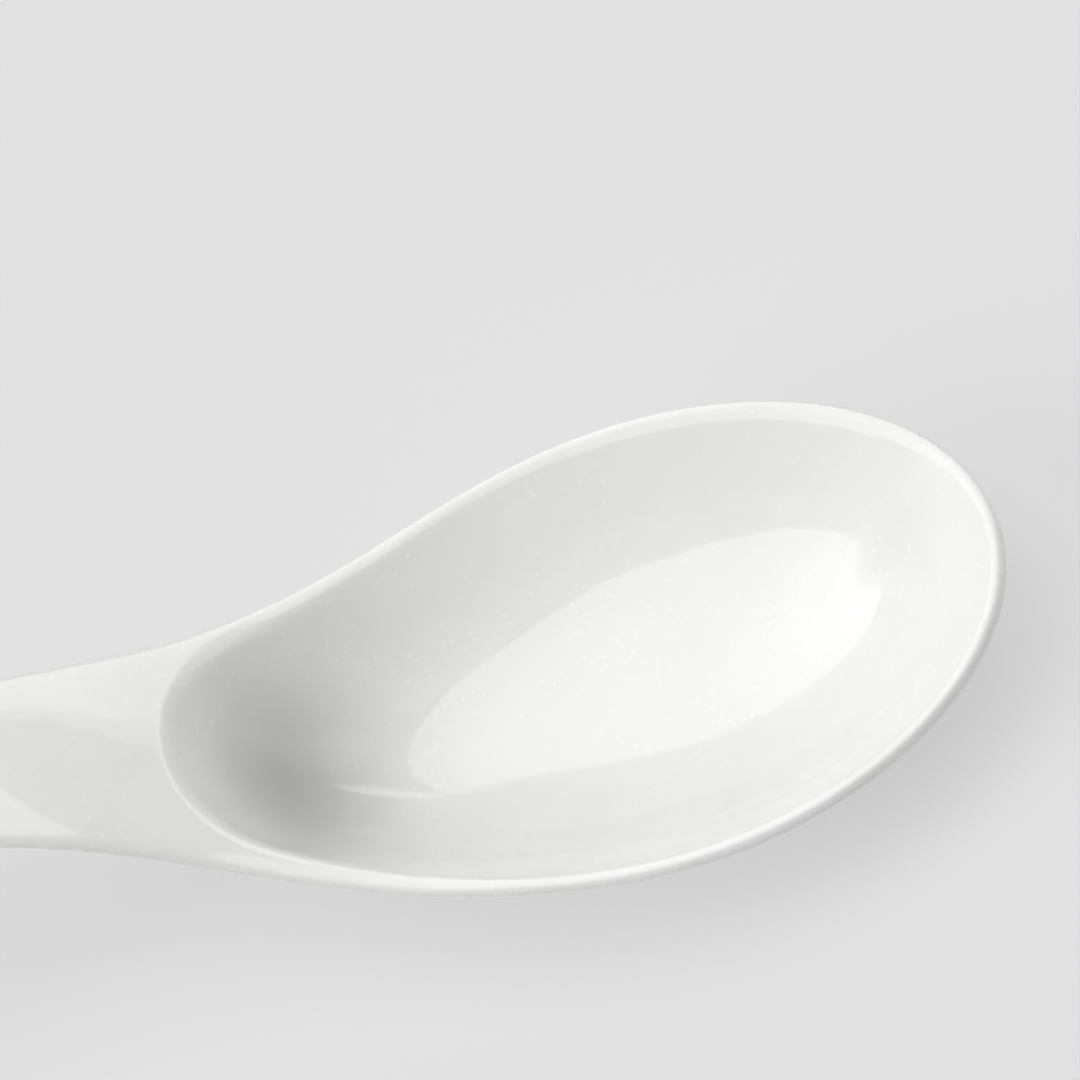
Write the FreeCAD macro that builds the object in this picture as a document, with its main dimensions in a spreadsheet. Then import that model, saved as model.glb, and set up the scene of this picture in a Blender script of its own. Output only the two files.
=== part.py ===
# Ceramic soup spoon, one glazed piece with a flat foot under the bowl.
# Millimetres. The foot lies on z = 0 with its middle near the origin, the bowl's tip
# points along +X, the handle rises towards -X, and y = 0 is the plane of symmetry.
import FreeCAD
import Part
import os
from math import atan, cos, pi, radians, sin, sqrt, tan
from FreeCAD import Vector

doc = FreeCAD.newDocument("CeramicSpoon")

# Driving sizes
drivingSizes = [
    ("tip_x", 42.0, "front end of the bowl"),
    ("bowl_width", 44.0, "outside width of the bowl at its widest"),
    ("bowl_front", 33.5, "from the widest place to the tip"),
    ("rim_height", 20.0, "rim above the table along the front of the bowl"),
    ("belly_below", 3.8, "how far the belly would reach below the flat foot"),
    ("belly_round", 1.4, "outside, how round the belly is before its walls run straight"),
    ("neck_x", -54.0, "where the outline stops narrowing"),
    ("handle_width", 17.0, "width where the neck ends"),
    ("handle_end_width", 15.8, "width where the round end starts"),
    ("handle_depth", 5.2, "handle from its top to its underside"),
    ("handle_dish", 0.5, "handle's top and underside, share that is a plain dish"),
    ("handle_crown", 1.8, "handle's top, from its edges up to its middle"),
    ("crown_x", -16.0, "where that crown starts"),
    ("crown_length", 30.0, "over which it grows to its full height"),
    ("handle_tip_x", -98.0, "rear end of the handle"),
    ("handle_round", 9.0, "length of the handle's round end"),
    ("rise_x", -11.5, "side view, where the rim starts to rise"),
    ("rise_radius", 39.0, "side view, hollow curve of the neck"),
    ("rise_angle", 38.0, "side view, steepest slope in degrees"),
    ("arch_radius", 108.0, "side view, arched curve of the handle"),
    ("heel_x", -8.0, "where the underside starts to rise"),
    ("heel_length", 48.0, "over which the bowl's depth thins to the handle's"),
    ("lip_wall", 2.4, "wall at the rim"),
    ("floor_wall", 3.4, "wall at the bottom of the bowl"),
    ("hollow_dish", 0.9, "inside, share that is a plain dish"),
    ("ridge_x", -34.8, "rear end of the hollow, at the handle"),
    ("ridge_turn", 17.0, "over which the hollow's rear corners turn"),
    ("slope_x", -14.0, "where the hollow's floor starts to rise"),
    ("slope_length", 40.0, "over which that floor would reach the handle's top"),
    ("outer_round", 1.2, "rounding of the outer edge of the rim and handle"),
    ("inner_round", 1.4, "rounding of the inner edge of the rim"),
    ("blank_margin", 4.0, "how far the blank stands out round the spoon"),
]
sizes = doc.addObject("Spreadsheet::Sheet", "Sizes")
for row, (alias, value, note) in enumerate(drivingSizes, start=1):
    sizes.set("A%d" % row, note)
    sizes.set("B%d" % row, str(value))
    sizes.setAlias("B%d" % row, alias)
doc.recompute()


def size(alias):
    return float(sizes.get(alias))


# Values worked out from them
wideX = size("tip_x") - size("bowl_front")
roundX = size("handle_tip_x") + size("handle_round")
slope = radians(size("rise_angle"))
archStartX = size("rise_x") - size("rise_radius") * sin(slope)
archStartZ = size("rim_height") + size("rise_radius") * (1 - cos(slope))
archCentreX = archStartX - size("arch_radius") * sin(slope)
archCentreZ = archStartZ - size("arch_radius") * cos(slope)
riseCentreZ = size("rim_height") + size("rise_radius")
bellyDepth = size("rim_height") + size("belly_below")
behindRidgeX = size("ridge_x") - size("ridge_turn") / 10
cornerMiddleX = size("ridge_x") + size("ridge_turn") / 2
insideFront = size("bowl_front") - size("lip_wall")
clearHeight = 4 * archStartZ
cornerPower = 6
overrun = 1.2
nearEnough = 0.1


def smoothStep(share):
    """0 to 1, level at both ends."""
    share = min(max(share, 0.0), 1.0)
    return share * share * (3 - 2 * share)


def flareRise(reach):
    """Round in the middle, then straight flaring walls. Reach is a squared distance, 1 at the rim."""
    roundness = size("belly_round")
    return (sqrt(reach + roundness ** 2) - roundness) / (sqrt(1 + roundness ** 2) - roundness)


def dishRise(reach, dish):
    """A plain dish whose walls turn up more the smaller the share is."""
    return dish * reach + (1 - dish) * reach ** 2


def sharpened(half, wallRise, crownFall):
    """Half width of the edge before its rounding, so that the rounded edge keeps its size."""
    angle = atan(wallRise / half) + atan(crownFall / half)
    return half + size("outer_round") * (1 / tan(angle / 2) - 1)


rimRound = sqrt(1 + size("belly_round") ** 2)
flareAtRim = 1 / (rimRound * (rimRound - size("belly_round")))
dishAtRim = 4 - 2 * size("handle_dish")
wallRise = size("handle_depth") * dishAtRim
crownFall = size("handle_crown") * dishAtRim
bowlHalf = sharpened(size("bowl_width") / 2, bellyDepth * flareAtRim, 0)
bowlReach = sharpened(size("bowl_front"), bellyDepth * flareAtRim, 0)
neckHalf = sharpened(size("handle_width") / 2, wallRise, crownFall)
endHalf = sharpened(size("handle_end_width") / 2, wallRise, crownFall)
endReach = sharpened(size("handle_round"), wallRise, crownFall)


def topHeight(x):
    """Side view of the rim and the handle's top: level, hollow curve, arch."""
    if x >= size("rise_x"):
        return size("rim_height")
    if x >= archStartX:
        return riseCentreZ - sqrt(size("rise_radius") ** 2 - (x - size("rise_x")) ** 2)
    return archCentreZ + sqrt(size("arch_radius") ** 2 - (x - archCentreX) ** 2)


def halfWidth(x):
    """Plan view, half the sharp outside width, without the round ends."""
    x = max(min(x, wideX), roundX)
    taper = min((x - roundX) / (size("neck_x") - roundX), 1)
    handleHalf = endHalf + taper * (neckHalf - endHalf)
    flare = smoothStep((x - size("neck_x")) / (wideX - size("neck_x")))
    return handleHalf + flare * (bowlHalf - handleHalf)


def insideHalfWidth(x):
    """Plan view, half the width of the hollow at the rim, without its ends."""
    return halfWidth(x) - (bowlHalf - size("bowl_width") / 2) - size("lip_wall")


def outsideReach(x, y):
    """Squared distance from the middle line, 1 at the sharp outline."""
    reach = (y / halfWidth(x)) ** 2
    reach += (max(x - wideX, 0) / bowlReach) ** 2
    reach += (max(roundX - x, 0) / endReach) ** 2
    return reach


def crownedTop(x, y):
    """Rim of the bowl and top of the handle, which is crowned across."""
    crown = size("handle_crown") * smoothStep((size("crown_x") - x) / size("crown_length"))
    return topHeight(x) + crown * (1 - dishRise(outsideReach(x, y), size("handle_dish")))


def outsideHeight(x, y):
    """Underside of the belly, neck and handle."""
    thinning = smoothStep((size("heel_x") - x) / size("heel_length"))
    depth = bellyDepth + thinning * (size("handle_depth") - bellyDepth)
    reach = outsideReach(x, y)
    rise = (1 - thinning) * flareRise(reach) + thinning * dishRise(reach, size("handle_dish"))
    return topHeight(x) - depth + depth * rise


def insideHeight(x, y):
    """Inside of the bowl, from the front lip to the ridge at the handle."""
    cornerX = size("ridge_x") + size("ridge_turn")
    rising = smoothStep((size("slope_x") - x) / size("slope_length"))
    depth = (size("rim_height") - size("floor_wall")) * (1 - rising)
    reach = (y / insideHalfWidth(x)) ** 2
    reach += (max(x - wideX, 0) / insideFront) ** 2
    reach += (max(cornerX - x, 0) / size("ridge_turn")) ** cornerPower
    return crownedTop(x, y) - depth + depth * dishRise(reach, size("hollow_dish"))


def stations(*spans):
    """Evenly spaced places along X, each span (start, end, count)."""
    places = []
    for start, end, count in spans:
        places += [start + (end - start) * step / count for step in range(count)]
    return places + [spans[-1][1]]


def sculpted(heightAt, halfSpanAt, places, depth):
    """A surface through the heights at a grid of places, made solid upwards or downwards."""
    crossSteps = 24
    grid = []
    for x in places:
        shares = [overrun * sin(pi * step / crossSteps - pi / 2) for step in range(crossSteps + 1)]
        grid.append([Vector(x, s * halfSpanAt(x), heightAt(x, s * halfSpanAt(x))) for s in shares])
    surface = Part.BSplineSurface()
    surface.interpolate(grid)
    return surface.toShape().extrude(Vector(0, 0, depth))


outside = doc.addObject("Part::Feature", "AboveOutside")
outside.Shape = sculpted(
    outsideHeight,
    halfWidth,
    stations(
        (roundX - overrun * endReach, roundX, 10),
        (roundX, size("neck_x"), 10),
        (size("neck_x"), wideX, 20),
        (wideX, wideX + overrun * bowlReach, 16),
    ),
    clearHeight,
)
inside = doc.addObject("Part::Feature", "AboveInside")
inside.Shape = sculpted(
    insideHeight,
    insideHalfWidth,
    stations(
        (behindRidgeX, cornerMiddleX, 12),
        (cornerMiddleX, wideX, 16),
        (wideX, wideX + overrun * insideFront, 16),
    ),
    clearHeight,
)
top = doc.addObject("Part::Feature", "BelowTop")
top.Shape = sculpted(
    crownedTop,
    halfWidth,
    stations(
        (size("handle_tip_x") - size("blank_margin"), archStartX, 14),
        (archStartX, size("rise_x"), 8),
        (size("rise_x"), size("tip_x") + size("blank_margin"), 6),
    ),
    -clearHeight,
)

# Blank standing on the table, so that the belly gets its flat foot
blank = doc.addObject("Part::Box", "Blank")
blank.setExpression("Length", "Sizes.tip_x - Sizes.handle_tip_x + 2 * Sizes.blank_margin")
blank.setExpression("Width", "Sizes.bowl_width + 2 * Sizes.blank_margin")
blank.setExpression("Height", "2 * (Sizes.rim_height + Sizes.rise_radius)")
blank.setExpression("Placement.Base.x", "Sizes.handle_tip_x - Sizes.blank_margin")
blank.setExpression("Placement.Base.y", "-Sizes.bowl_width / 2 - Sizes.blank_margin")

# The outside form cut to its foot and top, then hollowed
topped = doc.addObject("Part::Common", "Topped")
topped.Base = blank
topped.Tool = top
shell = doc.addObject("Part::Common", "Shell")
shell.Base = topped
shell.Tool = outside
hollowed = doc.addObject("Part::Cut", "Hollowed")
hollowed.Base = shell
hollowed.Tool = inside
doc.recompute()


def edgesWhere(shape, heightAt, fromX):
    """Numbers of the edges, ahead of a given place, in which a sculpted surface meets the top."""
    found = []
    for number, edge in enumerate(shape.Edges, start=1):
        point = edge.valueAt((edge.FirstParameter + edge.LastParameter) / 2)
        onTop = abs(point.z - crownedTop(point.x, point.y)) < nearEnough
        if onTop and point.x > fromX and abs(point.z - heightAt(point.x, point.y)) < nearEnough:
            found.append(number)
    return found


outerEdges = edgesWhere(hollowed.Shape, outsideHeight, size("handle_tip_x"))
innerEdges = edgesWhere(hollowed.Shape, insideHeight, size("ridge_x"))
spoon = doc.addObject("Part::Fillet", "Spoon")
spoon.Label = "spoon"
spoon.Base = hollowed
spoon.Edges = [(number, size("outer_round"), size("outer_round")) for number in outerEdges] + [
    (number, size("inner_round"), size("inner_round")) for number in innerEdges
]
doc.recompute()

for obj in doc.Objects:
    if "Invalid" in obj.State or "Error" in obj.State:
        raise RuntimeError(obj.Name + " did not build")
if spoon.Shape.isNull() or not spoon.Shape.isValid() or len(spoon.Shape.Solids) != 1:
    raise RuntimeError("the spoon is not one sound solid")

os.makedirs("parts", exist_ok=True)
spoon.Shape.exportStep("parts/%s.step" % spoon.Label)
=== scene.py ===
# Ceramic soup spoon on a pale table, seen from high up beside its bowl.
# Metres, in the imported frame: the foot lies on z = 0 and the bowl's tip points along +X.
from math import pi

import bmesh
import bpy
from mathutils import Matrix, Vector


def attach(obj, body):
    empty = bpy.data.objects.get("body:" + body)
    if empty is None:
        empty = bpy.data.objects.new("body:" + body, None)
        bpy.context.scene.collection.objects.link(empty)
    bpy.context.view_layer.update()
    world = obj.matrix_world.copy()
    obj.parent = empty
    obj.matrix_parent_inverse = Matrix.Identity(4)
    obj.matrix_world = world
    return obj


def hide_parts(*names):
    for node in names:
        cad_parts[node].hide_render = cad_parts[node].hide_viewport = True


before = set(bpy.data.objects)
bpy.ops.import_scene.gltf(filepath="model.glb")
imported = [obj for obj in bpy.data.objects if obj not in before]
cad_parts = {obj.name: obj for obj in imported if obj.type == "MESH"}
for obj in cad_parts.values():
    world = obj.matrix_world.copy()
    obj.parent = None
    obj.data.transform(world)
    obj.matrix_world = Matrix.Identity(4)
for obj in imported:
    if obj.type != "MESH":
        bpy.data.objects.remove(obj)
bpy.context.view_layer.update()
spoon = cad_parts["spoon"]
mm = 0.001
print("frame loaded with", len(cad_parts), "node")


# A shader socket that can stand in an expression
class Shade:
    def __init__(self, tree, socket=None):
        self.tree = tree
        self.socket = socket

    def node(self, kind, settings=None, sockets=None, output=0):
        made = self.tree.nodes.new(kind)
        for name, value in (settings or {}).items():
            setattr(made, name, value)
        for name, value in (sockets or {}).items():
            if isinstance(value, Shade):
                self.tree.links.new(value.socket, made.inputs[name])
            else:
                made.inputs[name].default_value = value
        return Shade(self.tree, made.outputs[output] if made.outputs else None)

    def maths(self, operation, first, second):
        return self.node("ShaderNodeMath", {"operation": operation}, {0: first, 1: second})

    def __add__(self, other):
        return self.maths("ADD", self, other)

    def __mul__(self, other):
        return self.maths("MULTIPLY", self, other)

    __radd__ = __add__
    __rmul__ = __mul__

    def mapped(self, low, high, toLow=0.0, toHigh=1.0):  # smooth step between two values
        return self.node(
            "ShaderNodeMapRange",
            {"interpolation_type": "SMOOTHSTEP"},
            {"Value": self, "From Min": low, "From Max": high, "To Min": toLow, "To Max": toHigh},
        )


def newMaterial(name):
    material = bpy.data.materials.new(name)
    material.use_nodes = True
    material.node_tree.nodes.clear()
    return material, Shade(material.node_tree)


def shownRay(start):  # 1 for what the camera, the glaze or glass shows, 0 for plain light
    seen, mirrored, through = (
        start.node("ShaderNodeLightPath", output=name)
        for name in ("Is Camera Ray", "Is Glossy Ray", "Is Transmission Ray")
    )
    return start.maths("MAXIMUM", seen, start.maths("MAXIMUM", mirrored, through))


def blend(start, factor, colourA, colourB):  # colours go through a Mix node
    return start.node(
        "ShaderNodeMix",
        {"data_type": "RGBA"},
        {0: factor, 6: colourA, 7: colourB},
        output=2,
    )


# Glaze
glazeLook = {
    "thick": (0.797, 0.797, 0.780, 1),
    "thin": (0.830, 0.830, 0.826, 1),
    "cloudSize": 22 * mm,
    "cloudDetail": 3.0,
    "cloudSpread": (0.35, 0.65),  # of the noise, from all thick to all thin
    "paintedHeelShade": (0.45, 0.45, 0.425, 1),  # painted shade: a darker colour in the bowl's deep corner at the heel
    "paintedHeelShadePlace": Vector((-29.3, -0.8, 14.0)) * mm,
    "paintedHeelShadeReach": 14.5 * mm,
    "paintedHeelShadeSide": (0.7, 0, 0.7),  # the painted shade lies on what faces up and towards the tip
    "paintedHeelShadeTurn": (-0.1, 0.3),  # how far it faces that way, from none to all
    "speckColour": (0.89, 0.89, 0.885, 1),
    "wobbleSize": 0.6 * mm,
    "wobble": 0.3 * mm,
    "clusterSize": 9 * mm,
    "clusterSpread": (0.38, 0.62),
    "sparse": 0.35,  # strength of the specks between the clusters
    "specks": (  # cell, share of the cells, solid to and gone at (in cells), strength
        (0.95 * mm, 0.95, 0.05, 0.36, 0.60),
        (2.3 * mm, 0.70, 0.0, 0.22, 0.40),
        (6.0 * mm, 0.50, 0.0, 0.15, 0.35),
    ),
    "boldShare": 0.3,  # of the dots, at full strength
    "pinColour": (0.25, 0.24, 0.22, 1),
    "pin": (9.0 * mm, 0.12, 0.010, 0.020, 1.0),
    "rippleSize": 5.0 * mm,
    "rippleHeight": 0.012 * mm,
    "roughness": 0.06,
    "ior": 1.5,
    "coat": 1.0,
    "coatRoughness": 0.01,
    "coatIor": 1.5,
}


def noise(start, place, size, detail=1.0, output=0):
    sockets = {"Vector": place, "Scale": 1 / size, "Detail": detail}
    return start.node("ShaderNodeTexNoise", None, sockets, output)


def scattered(start, place, kind):  # dots of varied strength, one in a share of the cells
    cell, share, inner, outer, strength = kind
    settings = {"feature": "F1", "distance": "EUCLIDEAN"}
    sockets = {"Vector": place, "Scale": 1 / cell, "Randomness": 1.0}
    distance = start.node("ShaderNodeTexVoronoi", settings, sockets, output="Distance")
    lot = start.node("ShaderNodeTexVoronoi", settings, sockets, output="Color")
    lotValue = start.node("ShaderNodeSeparateColor", None, {0: lot}, output=0)
    bold = lotValue.mapped(share, glazeLook["boldShare"] * share)
    return distance.mapped(outer, inner) * bold * strength


def wobbled(start, place, size, amount):  # moves each place a little, for uneven outlines
    colours = noise(start, place, size, output="Color")
    shift = start.node("ShaderNodeVectorMath", {"operation": "SCALE"}, {0: colours, "Scale": amount})
    return start.node("ShaderNodeVectorMath", {"operation": "ADD"}, {0: place, 1: shift})


def makeGlaze():
    look = glazeLook
    material, start = newMaterial("whiteGlaze")
    place = start.node("ShaderNodeTexCoord", output="Object")
    facing = start.node("ShaderNodeTexCoord", output="Normal")
    cloud = noise(start, place, look["cloudSize"], look["cloudDetail"])
    colour = blend(start, cloud.mapped(*look["cloudSpread"]), look["thick"], look["thin"])

    uneven = wobbled(start, place, look["wobbleSize"], look["wobble"])
    cluster = noise(start, place, look["clusterSize"])
    dense = cluster.mapped(*look["clusterSpread"], look["sparse"], 1.0)
    for kind in look["specks"]:
        colour = blend(start, scattered(start, uneven, kind) * dense, colour, look["speckColour"])

    # Painted shade: the deep corner at the heel is darkened in the colour, most where it faces up and
    # towards the tip
    away = start.node(
        "ShaderNodeVectorMath",
        {"operation": "DISTANCE"},
        {0: place, 1: look["paintedHeelShadePlace"]},
        output="Value",
    )
    turned = start.node(
        "ShaderNodeVectorMath",
        {"operation": "DOT_PRODUCT"},
        {0: facing, 1: look["paintedHeelShadeSide"]},
        output="Value",
    )
    paintedHeelShade = away.mapped(look["paintedHeelShadeReach"], 0.0) * turned.mapped(*look["paintedHeelShadeTurn"])
    colour = blend(start, paintedHeelShade, colour, look["paintedHeelShade"])
    colour = blend(start, scattered(start, place, look["pin"]), colour, look["pinColour"])

    ripple = noise(start, place, look["rippleSize"])
    bump = start.node(
        "ShaderNodeBump",
        None,
        {"Height": ripple, "Strength": 1.0, "Distance": look["rippleHeight"]},
    )
    shader = start.node(
        "ShaderNodeBsdfPrincipled",
        None,
        {
            "Base Color": colour,
            "Roughness": look["roughness"],
            "IOR": look["ior"],
            "Coat Weight": look["coat"],
            "Coat Roughness": look["coatRoughness"],
            "Coat IOR": look["coatIor"],
            "Normal": bump,
        },
    )
    start.node("ShaderNodeOutputMaterial", None, {"Surface": shader})
    return material


glaze = makeGlaze()
spoon.data.materials[0] = glaze
print("glaze made")


# The fired spoon: the same solid, with the lip that the glaze leaves, a thin crest that slopes into the bowl
lip = {
    "merge": 0.001 * mm,  # how near two corners of the solid's mesh count as one
    "voxel": 0.45 * mm,
    "wall": 2.4 * mm,
    "crest": 1.1 * mm,  # thickness left at the very top
    "reach": 5.5 * mm,  # how far down the slope runs
    "fall": 1.5,
    "firstX": -35 * mm,  # the slope fades in from here
    "fullX": -4 * mm,
    "axis": (-13 * mm, 20 * mm),  # the bowl's ends are round about these two points
    "column": 0.5 * mm,
    "passes": 6,
    "smoothing": 0.5,
}


def evened(low, high, value):  # smooth step
    part = min(1.0, max(0.0, (value - low) / (high - low)))
    return part * part * (3 - 2 * part)


def crestHeights(points):  # the lip's height in each column along X
    highest = {}
    for point in points:
        column = round(point.co.x / lip["column"])
        highest[column] = max(highest.get(column, 0.0), point.co.z)
    return highest


def slopeLip(shape):
    highest = crestHeights(shape.verts)
    moved = []
    for point in shape.verts:
        place = point.co
        below = highest[round(place.x / lip["column"])] - place.z
        if place.x < lip["firstX"] or below > lip["reach"]:
            continue
        centre = Vector((min(lip["axis"][1], max(lip["axis"][0], place.x)), 0, place.z))
        inward = (centre - place).normalized()
        side = evened(-1, 1, point.normal.dot(inward))  # full inside the bowl, none outside it
        depth = (lip["wall"] - lip["crest"]) * (1 - below / lip["reach"]) ** lip["fall"]
        along = evened(lip["firstX"], lip["fullX"], place.x)
        moved.append((point, place - inward * depth * side * along))
    for point, place in moved:
        point.co = place


def makeFiredSpoon():
    piece = bpy.data.objects.new("firedSpoon", spoon.data.copy())
    bpy.context.scene.collection.objects.link(piece)
    shape = bmesh.new()
    shape.from_mesh(piece.data)
    bmesh.ops.remove_doubles(shape, verts=shape.verts, dist=lip["merge"])
    shape.to_mesh(piece.data)
    remesh = piece.modifiers.new("evenMesh", "REMESH")
    remesh.mode = "VOXEL"
    remesh.voxel_size = lip["voxel"]
    graph = bpy.context.evaluated_depsgraph_get()
    even = bpy.data.meshes.new_from_object(piece.evaluated_get(graph))
    piece.modifiers.clear()
    shape.clear()
    shape.from_mesh(even)
    slopeLip(shape)
    for turn in range(lip["passes"]):
        bmesh.ops.smooth_vert(
            shape,
            verts=shape.verts,
            factor=lip["smoothing"],
            use_axis_x=True,
            use_axis_y=True,
            use_axis_z=True,
        )
    for face in shape.faces:
        face.smooth = True
    shape.to_mesh(even)
    shape.free()
    piece.data = even
    even.materials.clear()
    even.materials.append(glaze)
    print("fired spoon has", len(even.polygons), "faces")
    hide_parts("spoon")
    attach(piece, "root")


makeFiredSpoon()


# Table
table = {
    "colour": (0.76, 0.76, 0.76, 1),
    "seen": (0.22, 0.22, 0.22, 1),  # what is shown of it: part lit by the lamps, part even
    "even": (0.520, 0.520, 0.520, 1),
    "unlit": (0, 0, 0, 1),  # and to plain light it adds nothing of its own
    "roughness": 0.9,
    "size": 24.0,
}


def makeTable():
    mesh = bpy.data.meshes.new("table")
    shape = bmesh.new()
    bmesh.ops.create_grid(shape, x_segments=1, y_segments=1, size=table["size"] / 2)
    shape.to_mesh(mesh)
    shape.free()
    floor = bpy.data.objects.new("table", mesh)
    bpy.context.scene.collection.objects.link(floor)
    material, start = newMaterial("paleTable")
    shown = shownRay(start)
    shader = start.node(
        "ShaderNodeBsdfPrincipled",
        None,
        {
            "Base Color": blend(start, shown, table["colour"], table["seen"]),
            "Roughness": table["roughness"],
            "Specular IOR Level": 0.0,
            "Emission Color": blend(start, shown, table["unlit"], table["even"]),
            "Emission Strength": 1.0,
        },
    )
    start.node("ShaderNodeOutputMaterial", None, {"Surface": shader})
    mesh.materials.append(material)


makeTable()
print("table made")


# Studio: a very large soft light that is only mirrored, three lamps that only light, and three that do both
studio = {
    "lamps": {  # place, size, radiance, and whether the glaze mirrors it, it lights, or both
        "softLight": ((-2.25, -0.4, 1.5), (7.15, 6.6), 0.88, "mirror"),
        "overhead": ((0.35, 0.0, 3.0), (2.0, 2.0), 5.5, "light"),
        "key": ((-1.79, -0.89, 2.24), (2.0, 2.0), 3.2, "light"),
        "low": ((-2.9, 0.0, 0.77), (2.0, 2.0), 3.45, "light"),
        "front": ((3.5, -0.8, 1.0), (3.0, 1.6), 0.35, "both"),
        "sideWide": ((0.93, 2.27, 0.88), (5.0, 2.0), 0.56, "both"),  # just behind the narrow one
        "sideNarrow": ((0.9, 2.2, 0.85), (4.4, 1.6), 0.56, "both"),
    },
    "room": 0.11,
    "backdrop": 0.72,
}


def makeLamp(name, place, size, radiance, part):
    light = bpy.data.lights.new(name, "AREA")
    light.shape = "ELLIPSE"
    light.size, light.size_y = size
    light.energy = radiance * pi * pi * size[0] * size[1] / 4  # pi times the ellipse's area
    lamp = bpy.data.objects.new(name, light)
    lamp.location = place
    if part != "mirror":  # that one faces straight down, the others face the spoon
        lamp.rotation_euler = Vector(place).to_track_quat("Z", "Y").to_euler()
    lamp.visible_camera = False
    lamp.visible_diffuse = part != "mirror"
    lamp.visible_glossy = part != "light"
    bpy.context.scene.collection.objects.link(lamp)


def makeRoom():
    world = bpy.data.worlds.new("studio")
    world.use_nodes = True
    world.node_tree.nodes.clear()
    start = Shade(world.node_tree)
    level = shownRay(start) * (studio["backdrop"] - studio["room"]) + studio["room"]
    background = start.node("ShaderNodeBackground", None, {"Color": (1, 1, 1, 1), "Strength": level})
    start.node("ShaderNodeOutputWorld", None, {"Surface": background})
    bpy.context.scene.world = world


for lampName, values in studio["lamps"].items():
    makeLamp(lampName, *values)
makeRoom()
print("studio lit")


# Camera, at the photograph's direction to the spoon
view = {
    "right": Vector((0.928, -0.179, -0.328)),
    "up": Vector((0.296, 0.890, 0.349)),
    "aim": Vector((3.93, 6.44, 33.00)) * mm,  # what the middle of the picture shows
    "width": 95.4 * mm,  # how much the picture takes in there
    "distance": 0.7,
    "sensor": 36.0,
}


def makeCamera():
    right = view["right"].normalized()
    up = (view["up"] - right * view["up"].dot(right)).normalized()
    back = right.cross(up)
    data = bpy.data.cameras.new("camera")
    data.sensor_width = view["sensor"]
    data.lens = view["sensor"] * view["distance"] / view["width"]
    camera = bpy.data.objects.new("camera", data)
    turned = Matrix((right, up, back)).transposed().to_4x4()
    camera.matrix_world = Matrix.Translation(view["aim"] + back * view["distance"]) @ turned
    bpy.context.scene.collection.objects.link(camera)
    bpy.context.scene.camera = camera


makeCamera()
bpy.context.scene.view_settings.view_transform = "Standard"
print("camera placed")
